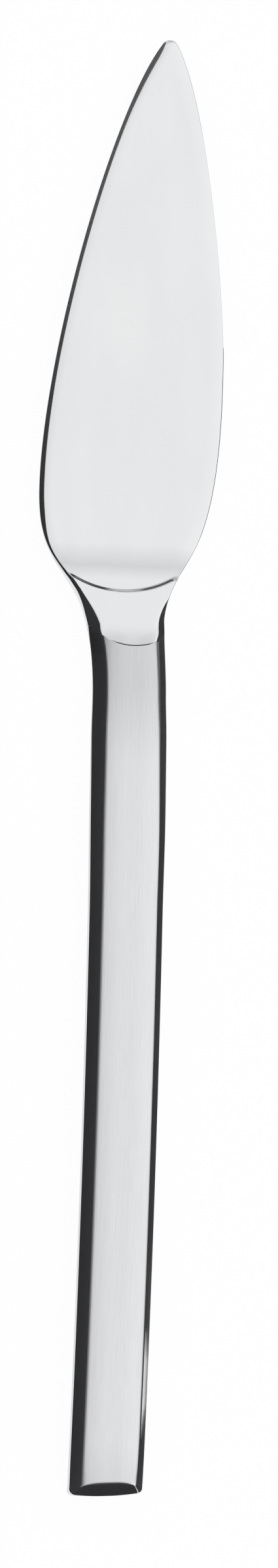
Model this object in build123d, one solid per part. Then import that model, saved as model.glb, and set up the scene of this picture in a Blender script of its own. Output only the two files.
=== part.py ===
from build123d import *
import os
from math import asin, cos, degrees, pi, radians, sin, sqrt, tan

# Table fish knife: a forged blade whose tang is cemented into a hollow handle of two pressed shells.
# Sizes are in millimetres. Y runs towards the tip, X across the knife, Z up. The pieces are drawn with the
# origin at the start of the collar's flare, on the middle plane, and moved at the end to lie on the table.

# Handle
grip_length = 112.3
collar_length = 6.75
handle_width = 10.5
handle_thickness = 5.0
face_land = 2.0
face_drop = 0.4
side_bevel = 1.35
butt_offset = 2.0
butt_skew = 3.0
butt_radius = 40.0
butt_corner = 0.6
shell_wall = 0.9
seam_film = 0.15
shoulder_film = 0.15

# Tang and cement
tang_length = 60.0
tang_width = 5.0
tang_end_width = 3.4
tang_thickness = 1.9
notch_radius = 0.7
notch_pitch = 14.0
notch_count = 3
cement_past_tang = 10.0

# Neck, measured forward from the seam
scoop_angle = 22.0
neck_length = 7.95
root_length = 4.9
root_step = 0.5
root_swell = 0.14
swell_run = 2.4
step_radius = 14.2
step_offset = -1.4

# Blade, with the cutting side towards -X and the back towards +X, measured forward from the seam
blade_thickness = 1.5
tip_thickness = 1.0
edge_land = 0.7
edge_bevel = 0.4
waist_reach = 4.88
waist_ahead = 2.7
heel_reach = 13.35
heel_ahead = 21.3
back_reach = 12.97
back_ahead = 41.0
tip_offset = 4.7
tip_ahead = 86.2
tip_radius = 1.25
cutting_lean = 36.5
back_lean = 28.8

# How far each outline curve runs on along its end direction before it turns
flare_run = 19.7
heel_run_back = 13.75
heel_run_ahead = 17.75
cutting_tip_run = 12.5
collar_run = 3.0
waist_run_back = 1.7
waist_run_ahead = 11.35
back_run_back = 33.5
back_run_ahead = 8.4
back_tip_run = 9.75

# Derived sizes
half_width = handle_width / 2
half_thickness = handle_thickness / 2
half_blade = blade_thickness / 2
side_band = half_thickness - face_drop - side_bevel
face_half = half_width - side_bevel
crown_run = face_half - face_land / 2
crown_radius = (crown_run**2 + face_drop**2) / (2 * face_drop)
bow_radius = (grip_length**2 + butt_offset**2) / (2 * butt_offset)
bow_angle = degrees(asin(grip_length / bow_radius))
bow_axis = Axis((-bow_radius, 0, 0), (0, 0, -1))
butt_place = Pos(-butt_offset, -grip_length, 0) * Rot(0, 0, butt_skew)
seam_rise = face_drop / tan(radians(scoop_angle))
seam_radius = (face_half**2 + seam_rise**2) / (2 * seam_rise)
step_y = collar_length + neck_length
root_y = step_y + root_length
swell_y = root_y - swell_run
half_root = half_blade + root_swell
tip_y = collar_length + tip_ahead
whole_length = grip_length + tip_y


def ahead_of_arc(radius, crest_y):
    """All space ahead of an arc in plan that bulges towards the butt, with its crest at crest_y."""
    disc = Cylinder(radius, handle_thickness * 2)
    forward = (Align.CENTER, Align.MIN, Align.CENTER)
    ahead = Box(whole_length, whole_length, handle_thickness * 2, align=forward)
    return Pos(0, crest_y + radius, 0) * (disc + ahead)


def prism_across(*corners):
    """Prism across the whole knife on a side profile of corners (y, z), mirrored below the middle plane."""
    profile = Plane.YZ * make_face(Polyline(*corners, close=True))
    half = extrude(profile, amount=whole_length / 2, both=True)
    return half + mirror(half, Plane.XY)


def crown_section(inset):
    """Lands and crowns of the handle as one wide section, pulled in by inset and run past the bevels."""
    radius = crown_radius - inset
    centre = Vector(face_land / 2, half_thickness - crown_radius)
    reach = half_width + side_bevel
    turn = asin((reach - centre.X) / radius)
    end = centre + Vector(sin(turn), cos(turn)) * radius
    middle = centre + Vector(sin(turn / 2), cos(turn / 2)) * radius
    top = half_thickness - inset
    crown = ThreePointArc(end, middle, (face_land / 2, top))
    right = [crown, mirror(crown, Plane.XZ), Line(end, (end.X, -end.Y))]
    left = [mirror(edge, Plane.YZ) for edge in right]
    lands = [Line((-face_land / 2, z), (face_land / 2, z)) for z in (top, -top)]
    return Plane.XZ * make_face(right + left + lands)


def bevelled_section(inset):
    """Octagon of side bands and 45 degree bevels, pulled in by inset."""
    side = half_width - inset
    top = half_thickness - inset
    band = side_band - inset * (sqrt(2) - 1)
    flat = side - (top - band)
    upper = [(side, band), (flat, top), (-flat, top), (-side, band)]
    lower = [(-side, -band), (-flat, -top), (flat, -top), (side, -band)]
    return Plane.XZ * make_face(Polyline(*upper, *lower, close=True))


def handle_section(inset):
    """Cross-section of the handle, pulled in by inset: lands and crowns between the bevels and side bands."""
    return crown_section(inset) & bevelled_section(inset)


def bowed_grip(section):
    """A handle section swung round the bow, from the collar to past the butt."""
    return revolve(section, bow_axis, revolution_arc=bow_angle + degrees(half_width / bow_radius))


def straight_collar(section):
    """A handle section run straight from the grip to past the seam."""
    return extrude(section, amount=collar_length + 2 * seam_rise, dir=(0, 1, 0))


def ended_at_butt(body, inset):
    """The body cut off at the butt, inset from its end, with a 45 degree bevel above and below."""
    band = side_band - inset * (sqrt(2) - 1)
    bevel_end = inset + half_thickness - band
    far = whole_length
    bevel = [(inset, 0), (inset, band), (bevel_end, half_thickness)]
    keep = prism_across(*bevel, (far, half_thickness), (far, 0))
    return body & (butt_place * (keep & ahead_of_arc(butt_radius, inset)))


def forging_outline(inset):
    """Plan of collar, neck and blade as a chain of curves; inset pulls in the cutting side, heel to tip."""
    ahead = Vector(0, 1)
    cut_lean = radians(cutting_lean)
    spine_lean = radians(back_lean)
    inward = Vector(cos(cut_lean), -sin(cut_lean))
    cut_way = Vector(sin(cut_lean), cos(cut_lean))
    spine_way = Vector(-sin(spine_lean), cos(spine_lean))
    tip_turn = (pi - cut_lean + spine_lean) / 2
    tip_centre = Vector(tip_offset, tip_y - tip_radius) + inward * inset
    tip_left = tip_centre - inward * tip_radius
    tip_top = tip_centre + Vector(cos(tip_turn), sin(tip_turn)) * tip_radius
    tip_right = tip_centre + Vector(cos(spine_lean), sin(spine_lean)) * tip_radius
    left = Vector(-half_width, 0)
    right = Vector(half_width, 0)
    heel = Vector(-heel_reach + inset, collar_length + heel_ahead)
    waist = Vector(waist_reach, collar_length + waist_ahead)
    back = Vector(back_reach, collar_length + back_ahead)
    edges = [
        Line(right, left),
        Bezier(left, left + ahead * flare_run, heel - ahead * heel_run_back, heel),
        Bezier(heel, heel + ahead * heel_run_ahead, tip_left - cut_way * cutting_tip_run, tip_left),
        ThreePointArc(tip_left, tip_top, tip_right),
        Bezier(tip_right, tip_right - spine_way * back_tip_run, back + ahead * back_run_ahead, back),
        Bezier(back, back - ahead * back_run_back, waist + ahead * waist_run_ahead, waist),
        Bezier(waist, waist - ahead * waist_run_back, right + ahead * collar_run, right),
    ]
    return make_face(edges)


def bevelled_neck():
    """Full-height prism of collar and neck, with the handle's 45 degree bevels along both sides."""
    prism = extrude(forging_outline(0), amount=half_thickness, both=True)
    prism = prism & prism_across((0, 0), (0, half_thickness), (swell_y, half_thickness), (swell_y, 0))
    faces = prism.faces().sort_by(Axis.Z)
    sides = (faces[0].edges() + faces[-1].edges()).filter_by(GeomType.LINE, reverse=True)
    return chamfer(sides, half_thickness - side_band)


def scooped_neck(neck):
    """Neck scooped down from the handle's face to the blade root, with a curved step down to the blade."""
    scoop_start = Vector(collar_length, half_thickness)
    scoop_end = Vector(step_y, half_root + root_step)
    downhill = (cos(radians(scoop_angle)), -sin(radians(scoop_angle)))
    scoop = make_face(
        [
            TangentArc(scoop_start, scoop_end, tangent=downhill),
            Line(scoop_end, (root_y, scoop_end.Y)),
            Line((root_y, scoop_end.Y), (root_y, handle_thickness)),
            Line((root_y, handle_thickness), (collar_length, handle_thickness)),
            Line((collar_length, handle_thickness), scoop_start),
        ]
    )
    scoop = extrude(Plane.YZ * scoop, amount=whole_length / 2, both=True)
    upward = (Align.CENTER, Align.CENTER, Align.MIN)
    recess = Cone(step_radius, step_radius + half_thickness, half_thickness, align=upward)
    recess = Pos(step_offset, step_y + step_radius, half_root) * recess
    body = neck & ahead_of_arc(seam_radius, collar_length)
    for cut in (scoop, recess):
        body = body - cut - mirror(cut, Plane.XY)
    return body


def blade_plate():
    """Flat blade with a slight swell at the root, which thins from there to the tip."""
    plate = extrude(forging_outline(0), amount=half_root, both=True)
    swell = [(step_y, 0), (step_y, half_root), (swell_y, half_root), (root_y, half_blade)]
    return plate & prism_across(*swell, (tip_y, tip_thickness / 2), (tip_y, 0))


def edge_envelope():
    """Space inside the bevels of the cutting side, which leave a blunt land along the edge."""
    slope = edge_bevel / (half_blade - edge_land / 2)
    low = Pos(0, 0, edge_land / 2) * forging_outline(0)
    high = Pos(0, 0, half_thickness) * forging_outline(slope * (half_thickness - edge_land / 2))
    upper = loft([low, high], ruled=True)
    core = extrude(forging_outline(0), amount=edge_land / 2, both=True)
    return core + upper + mirror(upper, Plane.XY)


def tang():
    """Tapered flat tang with rounded notches along both edges that key it into the cement."""
    rear = collar_length - tang_length
    front = collar_length + seam_rise
    half = tang_width / 2
    end_half = tang_end_width / 2
    corners = [(-half, front), (half, front), (half, collar_length), (end_half, rear)]
    plan = make_face(Polyline(*corners, (-end_half, rear), (-half, collar_length), close=True))
    for index in range(notch_count):
        back = (index + 1) * notch_pitch
        reach = half + (end_half - half) * back / tang_length
        for side in (-1, 1):
            plan -= Pos(side * reach, collar_length - back) * Circle(notch_radius)
    return extrude(plan, amount=tang_thickness / 2, both=True)


def cement(cavity):
    """Cement that fills the front of the hollow handle, round the tang and up to the shoulder."""
    rear = collar_length - tang_length - cement_past_tang
    fill = prism_across((rear, 0), (rear, half_thickness), (tip_y, half_thickness), (tip_y, 0))
    return (cavity & fill) - ahead_of_arc(seam_radius, collar_length) - tang()


def rounded_butt(body):
    """The body with the two upright corners of its butt rounded in plan."""
    upright = body.edges().filter_by(Axis.Z).sort_by(Axis.Y)
    return fillet(upright[:2], butt_corner)


neck = bevelled_neck()
outside = bowed_grip(handle_section(0)) + (neck & straight_collar(crown_section(0)))
inside = bowed_grip(handle_section(shell_wall)) + straight_collar(handle_section(shell_wall))
cavity = ended_at_butt(inside, shell_wall)
hollow = rounded_butt(ended_at_butt(outside, 0)) - cavity
mouth = ahead_of_arc(seam_radius + shoulder_film, collar_length - shoulder_film)
shells = hollow - mouth
forging = (scooped_neck(neck) + blade_plate()) & edge_envelope()

pieces = {
    "blade": forging + tang(),
    "upper_handle_shell": split(shells, Plane.XY.offset(seam_film / 2), keep=Keep.TOP),
    "lower_handle_shell": split(shells, Plane.XY.offset(-seam_film / 2), keep=Keep.BOTTOM),
    "handle_seam_solder": shells & Box(whole_length * 2, whole_length * 2, seam_film),
    "shoulder_solder": (hollow & mouth) - ahead_of_arc(seam_radius, collar_length),
    "tang_cement": cement(cavity),
}

# The knife lies on the table with the middle of the lower handle face at the origin.
rest_y = -grip_length / 2
rest_x = sqrt(bow_radius**2 - rest_y**2) - bow_radius
lie_down = Pos(-rest_x, -rest_y, half_thickness)

os.makedirs("parts", exist_ok=True)
for name, piece in pieces.items():
    export_step(lie_down * piece, f"parts/{name}.step")
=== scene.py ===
# %% [markdown]
# # A table fish knife, drawn as surfaces
# The knife is one forged steel blade whose tang is cemented into a hollow handle. The handle is two pressed
# shells, soldered together along the sides and round the butt. Its shapes are smooth and few, so the whole
# knife can be worked out as height over plan: how thick is the steel above each point of the outline?
# Everything is computed with numpy in millimetres, in the drawing frame of the solids, and moved to the
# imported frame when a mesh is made.

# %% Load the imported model
import math

import bpy
import numpy as np
from mathutils import Matrix, Vector


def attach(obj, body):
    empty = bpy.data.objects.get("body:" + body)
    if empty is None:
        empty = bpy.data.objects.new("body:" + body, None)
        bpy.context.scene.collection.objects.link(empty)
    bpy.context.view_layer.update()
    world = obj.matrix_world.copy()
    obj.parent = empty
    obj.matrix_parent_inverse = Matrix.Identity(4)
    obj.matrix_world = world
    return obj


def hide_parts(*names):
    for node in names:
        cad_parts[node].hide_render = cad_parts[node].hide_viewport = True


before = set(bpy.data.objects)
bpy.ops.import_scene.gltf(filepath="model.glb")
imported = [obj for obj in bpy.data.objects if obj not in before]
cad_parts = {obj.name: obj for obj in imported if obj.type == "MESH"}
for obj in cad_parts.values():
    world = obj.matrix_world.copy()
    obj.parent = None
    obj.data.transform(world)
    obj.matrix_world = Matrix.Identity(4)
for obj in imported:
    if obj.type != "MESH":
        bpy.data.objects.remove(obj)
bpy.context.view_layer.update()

print("CAD nodes:", sorted(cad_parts))

# %% [markdown]
# ## From the drawing to the table
# The drawing has its origin at the start of the collar, on the middle plane of the knife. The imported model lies
# on the table, with the middle of the lower handle face at the origin. The pieces could be worked out on the table
# at once, but the drawing's own frame has simpler numbers. The handle is bowed a little in plan, so the shift
# across comes from the bow.

# %% Frame of the drawing
GRIP_LENGTH = 112.3
HALF_THICKNESS = 2.5
BUTT_OFFSET = 2.0
BOW_RADIUS = (GRIP_LENGTH**2 + BUTT_OFFSET**2) / (2 * BUTT_OFFSET)
MIDDLE_OF_GRIP = GRIP_LENGTH / 2
BOW_AT_MIDDLE = BOW_RADIUS - math.sqrt(BOW_RADIUS**2 - MIDDLE_OF_GRIP**2)
SHIFT = np.array([BOW_AT_MIDDLE, MIDDLE_OF_GRIP, HALF_THICKNESS])
MM = 0.001
print("shift to the table, mm:", SHIFT.round(3))

# %% [markdown]
# ## The outline in plan
# Seen from above, the forging is a narrow collar that flares into a leaf: a rounded heel on the cutting side, a
# slimmer shoulder on the back, and a blunt tip. A lofted mesh could be pushed into that shape by hand, but each
# side is only two or three cubic curves with a tip arc, so the sides are computed as x over y and everything
# else is measured from them.

# %% Curves and fades
STEPS = 900
TINY_RISE = 1e-9


def cubic(start, start_pull, end_pull, end):
    """Cubic curve: its four control points weighted by the Bernstein polynomials of a parameter from 0 to 1."""
    t = np.linspace(0, 1, STEPS)[:, None]
    points = [np.asarray(p, float) for p in (start, start + start_pull, end - end_pull, end)]
    weights = [(1 - t) ** 3, 3 * t * (1 - t) ** 2, 3 * t**2 * (1 - t), t**3]
    return sum(w * p for w, p in zip(weights, points))


def pull(length, lean=0.0):
    """Pull on the end of a cubic curve: a vector of some length that leans from +Y towards +X."""
    return length * np.array([math.sin(lean), math.cos(lean)])


def side(*curves):
    """Chain of curves as rising y, x over y, and the cosine of the side's slant."""
    points = np.vstack([curves[0][:1]] + [curve[1:] for curve in curves])
    x, y = points.T
    y = np.maximum.accumulate(y) + np.arange(len(y)) * TINY_RISE
    slant = np.gradient(x, y)
    return y, x, 1 / np.sqrt(1 + slant**2)


def fade(value, start, end):
    """Smooth step from 0 at start to 1 at end."""
    t = np.clip((value - start) / (end - start), 0, 1)
    return t * t * (3 - 2 * t)


def stages(y, first, *changes):
    """A value along the knife: from the first one it fades to each next one over that one's stretch of y."""
    value = last = first
    for target, start, end in changes:
        value = value + (target - last) * fade(y, start, end)
        last = target
    return value


print("halfway through a fade:", float(fade(0.5, 0, 1)))

# %% [markdown]
# ## The two sides
# The cutting side runs from the collar over the heel to the tip, the back over a slight waist. The grip behind the
# collar is straight but for a swell of a tenth of a millimetre, as polishing leaves it. Each curve needs only its
# ends and the lengths of its two pulls, so few numbers hold the whole outline.

# %% Sides of the knife
HALF_WIDTH = 5.25
COLLAR_LENGTH = 6.75
HEEL = np.array([-13.35, COLLAR_LENGTH + 21.3])
WAIST = np.array([4.88, COLLAR_LENGTH + 2.7])
BACK = np.array([12.97, COLLAR_LENGTH + 41.0])
TIP_Y = COLLAR_LENGTH + 86.2
TIP_RADIUS = 1.25
TIP_CENTRE = np.array([4.7, TIP_Y - TIP_RADIUS])
CUTTING_LEAN = math.radians(36.5)
BACK_LEAN = math.radians(28.8)
LEFT_COLLAR_PULL = pull(19.7)
HEEL_PULLS = pull(13.75), pull(17.75)
LEFT_TIP_PULL = pull(12.5, CUTTING_LEAN)
RIGHT_COLLAR_PULL = pull(3.0)
WAIST_PULLS = pull(1.7), pull(11.35)
BACK_PULLS = pull(33.5), pull(8.4)
RIGHT_TIP_PULL = pull(9.75, -BACK_LEAN)
SWELL_START = -31.0
SWELL_RISE = (SWELL_START, -17.0)
SWELL_FALL = (-6.0, 0.0)
LEFT_SWELL = 0.11
RIGHT_SWELL = 0.14


def tip_arc(start_angle):
    """Arc of the tip from a start angle to its top: centre plus radius times cosine and sine."""
    angle = np.linspace(start_angle, math.pi / 2, STEPS)[:, None]
    return TIP_CENTRE + TIP_RADIUS * np.hstack([np.cos(angle), np.sin(angle)])


def grip_side(sign, swell):
    """Side of the grip behind the collar: straight, with a slight swell that rises and dies out smoothly."""
    y = np.linspace(SWELL_START, 0, STEPS)
    half = HALF_WIDTH + swell * fade(y, *SWELL_RISE) * (1 - fade(y, *SWELL_FALL))
    return np.stack([sign * half, y], axis=1)


left_tip = tip_arc(math.pi - CUTTING_LEAN)
right_tip = tip_arc(BACK_LEAN)
collar_left = np.array([-HALF_WIDTH, 0.0])
collar_right = np.array([HALF_WIDTH, 0.0])
LEFT = side(
    grip_side(-1, LEFT_SWELL),
    cubic(collar_left, LEFT_COLLAR_PULL, HEEL_PULLS[0], HEEL),
    cubic(HEEL, HEEL_PULLS[1], LEFT_TIP_PULL, left_tip[0]),
    left_tip,
)
RIGHT = side(
    grip_side(1, RIGHT_SWELL),
    cubic(collar_right, RIGHT_COLLAR_PULL, WAIST_PULLS[0], WAIST),
    cubic(WAIST, WAIST_PULLS[1], BACK_PULLS[0], BACK),
    cubic(BACK, BACK_PULLS[1], RIGHT_TIP_PULL, right_tip[0]),
    right_tip,
)
print("blade width, mm:", round(float(RIGHT[1].max() - LEFT[1].min()), 2))


# %% Measuring from the sides
def edge_x(outline, y):
    """x of a side at y; further back the handle's side runs straight."""
    return np.interp(y, outline[0], outline[1])


def from_sides(x, y):
    """Distances from the left and the right side: those across, times the cosine of each side's slant."""
    left = (x - edge_x(LEFT, y)) * np.interp(y, LEFT[0], LEFT[2])
    right = (edge_x(RIGHT, y) - x) * np.interp(y, RIGHT[0], RIGHT[2])
    return left, right


print("middle of the heel to its side, mm:", from_sides(0.0, HEEL[1])[0].round(2))

# %% [markdown]
# ## Tools for heights
# Two faces of a forging meet in an edge that the polishing wheel has softened. A bevel modifier would need the
# edge as an edge; with heights, the lower of the two faces is taken and the corner between them blended over a
# chosen width. Where a face starts from an upright wall, a small arc rounds the corner.


# %% Blending and rounding
def blend_min(a, b, width):
    """The lower of two heights, dipping by a parabola where they differ by less than width."""
    near = np.clip(1 - np.abs(a - b) / width, 0, None)
    return np.minimum(a, b) - near**2 * width / 4


def blend_max(a, b, width):
    """The higher of two heights, blended over width."""
    return -blend_min(-a, -b, width)


FOOT_RADIUS = 0.2


def bevel_rise(distance, radius=FOOT_RADIUS):
    """Rise of a 45 degree bevel over its distance from an upright wall, with an arc of radius at its foot."""
    depth = np.clip(distance, 0, None)
    foot = radius * (1 - math.sqrt(0.5))
    arc = np.sqrt(np.clip(radius**2 - (radius - depth) ** 2, 0, None)) - radius * (math.sqrt(2) - 1)
    return np.where(depth < foot, arc, depth)


print("bevel rise at the wall, mm:", round(float(bevel_rise(np.array(0.0))), 3))

# %% [markdown]
# ## Faces of the handle and the neck
# The handle's broad faces have a flat land down the middle and a slight crown each side. At the collar a scoop
# runs down from the handle's face to the blade, so the line where it starts is curved. A shallow curved step
# marks the end of the neck. Such faces could be cut with booleans; as heights they can also be blended.

# %% Crown of the handle
SIDE_BAND = 0.75
SHELL_WALL = 0.9
FACE_LAND = 2.0
FACE_DROP = 0.4
SIDE_BEVEL = HALF_THICKNESS - FACE_DROP - SIDE_BAND
FACE_HALF = HALF_WIDTH - SIDE_BEVEL
BEVEL_TOP = HALF_THICKNESS - FACE_DROP
CROWN_RUN = FACE_HALF - FACE_LAND / 2
CROWN_RADIUS = (CROWN_RUN**2 + FACE_DROP**2) / (2 * FACE_DROP)


def crown_height(across, inset=0.0):
    """Flat land, then a circle that falls away to both sides; inset is the wall of the shell."""
    off_land = np.clip(np.abs(across) - FACE_LAND / 2, 0, None)
    radius = CROWN_RADIUS - inset
    return HALF_THICKNESS - CROWN_RADIUS + np.sqrt(radius**2 - off_land**2)


print("crown radius, mm:", round(CROWN_RADIUS, 2))

# %% Scoop of the neck and plane of the blade
SCOOP_ANGLE = math.radians(22.0)
NECK_LENGTH = 7.95
STEP_Y = COLLAR_LENGTH + NECK_LENGTH
HALF_BLADE = 0.75
ROOT_STEP = 0.5
ROOT_SWELL = 0.14
ROOT_Y = STEP_Y + 4.9
SWELL_RUN = 2.4
TIP_HALF = 0.5
ROOT_HEIGHT = HALF_BLADE + ROOT_SWELL + ROOT_STEP
SCOOP_CHORD = math.hypot(NECK_LENGTH, HALF_THICKNESS - ROOT_HEIGHT)
SCOOP_TURN = SCOOP_ANGLE - math.atan2(HALF_THICKNESS - ROOT_HEIGHT, NECK_LENGTH)
SCOOP_RADIUS = SCOOP_CHORD / (2 * math.sin(SCOOP_TURN))
SCOOP_CENTRE_Y = COLLAR_LENGTH + SCOOP_RADIUS * math.sin(SCOOP_ANGLE)
SCOOP_CENTRE_Z = HALF_THICKNESS + SCOOP_RADIUS * math.cos(SCOOP_ANGLE)


def scoop_height(y):
    """Hollow of the neck: lower side of a circle that leaves the face at the scoop angle, then level."""
    reach = np.clip(y, None, STEP_Y) - SCOOP_CENTRE_Y
    return SCOOP_CENTRE_Z - np.sqrt(SCOOP_RADIUS**2 - reach**2)


def blade_height(y):
    """Half thickness of the blade: a soft swell at the root, then evenly thinner to the tip."""
    part = np.clip((y - ROOT_Y) / (TIP_Y - ROOT_Y), 0, 1)
    swell = ROOT_SWELL * (1 - fade(y, ROOT_Y - SWELL_RUN, ROOT_Y))
    return HALF_BLADE + (TIP_HALF - HALF_BLADE) * part + swell


print("scoop radius, mm:", round(SCOOP_RADIUS, 2))

# %% Step between neck and blade
STEP_RADIUS = 14.2
STEP_CENTRE_X = -1.4
STEP_END_SLOPE = 0.3
STEP_FADE_START = 0.4
STEP_FADE_END = 1.3
STEP_FOOT_BLEND = 0.12


def step_height(x, y):
    """Blade plane that rises behind an arc in plan: at 45 degrees, but gently from the ends of the arc."""
    ahead = y - STEP_Y - STEP_RADIUS
    out = np.where(ahead < 0, np.hypot(x - STEP_CENTRE_X, ahead), 0) - STEP_RADIUS
    bearing = np.arctan2(x - STEP_CENTRE_X, -ahead)
    foot_x = STEP_CENTRE_X + STEP_RADIUS * np.sin(bearing)
    foot_y = STEP_Y + STEP_RADIUS * (1 - np.cos(bearing))
    from_end = np.minimum(foot_x - edge_x(LEFT, foot_y), edge_x(RIGHT, foot_y) - foot_x)
    slope = STEP_END_SLOPE + (1 - STEP_END_SLOPE) * fade(from_end, STEP_FADE_START, STEP_FADE_END)
    return blend_max(blade_height(y), HALF_BLADE + ROOT_SWELL + out * slope, STEP_FOOT_BLEND)


print("step, mm:", round(float(scoop_height(STEP_Y) - blade_height(STEP_Y)), 2))

# %% [markdown]
# ## Grids and meshes
# Each piece starts from a grid of points: rows run across the knife, columns along it. Columns crowd together at
# the sides, where the bevels are. Subdividing a coarse mesh would round the bevels away, so the grid is fine from
# the start. A closed piece is made by adding a wall under the rim of the grid and joining what belongs together, so
# no edge is left open.

# %% Places on a grid
COLUMNS = 81
EDGE_CROWDING = 2.2


def spread(count=COLUMNS):
    """Places from -1 to 1 that crowd at both ends: distance from an end is a power of an even parameter."""
    even = np.linspace(-1, 1, count)
    return np.sign(even) * (1 - (1 - np.abs(even)) ** EDGE_CROWDING)


def across(left, right):
    """Rows of x from a left to a right end, spread by the crowding rule."""
    middle = (np.asarray(left) + right)[:, None] / 2
    half = (np.asarray(right) - left)[:, None] / 2
    return middle + half * spread()


def stretches(*parts):
    """One rising row of places from parts of (start, end, count)."""
    runs = [np.linspace(start, end, count, endpoint=False) for start, end, count in parts]
    return np.concatenate(runs + [[parts[-1][1]]])


print("outermost columns, as shares of the half width:", spread()[:4].round(4))


# %% Faces of a grid
def quads(first, second):
    """Faces between two equally long chains of vertex numbers."""
    first = np.asarray(first)
    second = np.asarray(second)
    return np.stack([first[:-1], first[1:], second[1:], second[:-1]], axis=1)


def grid_faces(numbers):
    """Faces of a whole grid of vertex numbers, seen from above."""
    return np.concatenate([quads(low, high) for low, high in zip(numbers[:-1], numbers[1:])])


def signed_volume(points, faces):
    """Volume enclosed by the faces, positive when they point outwards: sum of corner tetrahedra."""
    a, b, c, d = (points[faces[:, k]] for k in range(4))
    first = np.einsum("ij,ij->i", a, np.cross(b, c))
    second = np.einsum("ij,ij->i", a, np.cross(c, d))
    return (first.sum() + second.sum()) / 6


print("faces of a grid of 3 by 4 points:", len(grid_faces(np.arange(12).reshape(3, 4))))

# %% Making a piece
SHARP_ANGLE = math.radians(38)


def make_piece(name, points, faces, satin=None, plan=None):
    """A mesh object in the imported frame, in metres, smooth except at real edges, riding on the knife."""
    volume = signed_volume(points, faces)
    if volume < 0:
        faces = faces[:, ::-1]
    mesh = bpy.data.meshes.new(name)
    mesh.from_pydata(((points + SHIFT) * MM).tolist(), [], faces.tolist())
    if satin is not None:
        mask = mesh.attributes.new("satin", "FLOAT", "POINT")
        mask.data.foreach_set("value", np.asarray(satin, np.float32))
    if plan is not None:
        layer = mesh.uv_layers.new(name="along_the_handle")
        corner = np.empty(len(mesh.loops), np.int32)
        mesh.loops.foreach_get("vertex_index", corner)
        layer.data.foreach_set("uv", (plan[corner] * MM).astype(np.float32).ravel())
    mesh.polygons.foreach_set("use_smooth", np.ones(len(mesh.polygons), bool))
    mesh.set_sharp_from_angle(angle=SHARP_ANGLE)
    mesh.update()
    piece = bpy.data.objects.new(name, mesh)
    bpy.context.collection.objects.link(piece)
    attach(piece, "root")
    print(f"{name}: {len(points)} points, {len(faces)} faces, {abs(volume):.0f} mm3")
    return piece


# %% [markdown]
# ## The seam in plan
# The shells end at an arc that bulges towards the butt, and a film of solder joins them to the forging. Both arcs
# share one centre. A boolean cut would leave a ragged edge; one formula gives both grids the same clean one.

# %% Arcs of the seam
SCOOP_RISE = FACE_DROP / math.tan(SCOOP_ANGLE)
SEAM_RADIUS = (FACE_HALF**2 + SCOOP_RISE**2) / (2 * SCOOP_RISE)
SHOULDER_FILM = 0.15
SEAM_FILM = 0.15


def seam_y(x, film=0.0):
    """y of the seam's arc over x, moved towards the butt by the film."""
    return COLLAR_LENGTH + SEAM_RADIUS - np.sqrt((SEAM_RADIUS + film) ** 2 - np.asarray(x) ** 2)


print("seam radius, mm:", round(SEAM_RADIUS, 2))

# %% [markdown]
# ## Bevel of the cutting side
# Along the left side a bevel leads from the handle over the neck to the tip: wide at the scoop, narrow beside the
# step, wider again at the heel. The cutting side stays blunt, as is usual on fish knives. A bevel modifier has one
# width; here width, foot and softness are stages along the knife, so the bevel can change as the grinder's does.

# %% Bevel of the cutting side
GRIP_BEVEL = 1.25
COLLAR_BEVEL = 1.42
SCOOP_BEVEL = 1.5
NECK_BEVEL = 0.45
STEP_BEVEL = 0.22
HEEL_BEVEL = 0.52
EDGE_BEVEL = 0.42
TIP_BEVEL = 0.6
TIP_TAPER = 0.85
TIP_TAPER_RUN = 3.2
GRIP_FOOT = 0.6
COLLAR_FOOT = 0.13
NECK_FOOT = 0.72
HEEL_SLOPE = 0.77
TIP_SLOPE = 0.55
THINNING = (TIP_Y - 35.0, TIP_Y - 8.0)


def left_bevel(y):
    """Width of the bevel on the cutting side: its stages, tapered by a parabola at the very tip."""
    width = stages(
        y,
        GRIP_BEVEL,
        (COLLAR_BEVEL, -34.0, -4.0),
        (SCOOP_BEVEL, COLLAR_LENGTH + 0.6, COLLAR_LENGTH + 2.6),
        (NECK_BEVEL, COLLAR_LENGTH + 2.75, STEP_Y + 0.3),
        (STEP_BEVEL, STEP_Y + 0.3, STEP_Y + 3.5),
        (HEEL_BEVEL, STEP_Y + 4.5, HEEL[1] - 2.5),
        (EDGE_BEVEL, HEEL[1], HEEL[1] + 20.0),
        (TIP_BEVEL, TIP_Y - 12.0, TIP_Y - 3.0),
    )
    into_tip = np.clip((y - TIP_Y + TIP_TAPER_RUN) / TIP_TAPER_RUN, 0, 1)
    return width * (1 - TIP_TAPER * into_tip**2)


def left_foot(y, top):
    """Height at which the left bevel leaves its wall: set along handle and neck, then a slope below the top."""
    on_collar = (COLLAR_FOOT, -24.0, 0.0)
    on_neck = (NECK_FOOT, COLLAR_LENGTH + 0.4, COLLAR_LENGTH + 3.4)
    foot = stages(y, GRIP_FOOT, on_collar, on_neck)
    slope = stages(y, 1.0, (HEEL_SLOPE, STEP_Y + 2.8, HEEL[1] - 3.0), (TIP_SLOPE, *THINNING))
    return foot + (top - left_bevel(y) * slope - foot) * fade(y, STEP_Y - 1.9, STEP_Y + 1.0)


stations = np.array([0.0, WAIST[1], STEP_Y, HEEL[1], BACK[1]])
print("left bevel at collar, waist, step, heel and back, mm:", left_bevel(stations).round(2))

# %% [markdown]
# ## Softness of the corners
# Polishing rounds some corners more than others. Beside the step both walls turn over into their bevels in a large
# arc, while the blade's corners stay crisp. The bevel of the back runs out on the neck, and only a fine broken edge
# is left along the blade.

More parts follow.
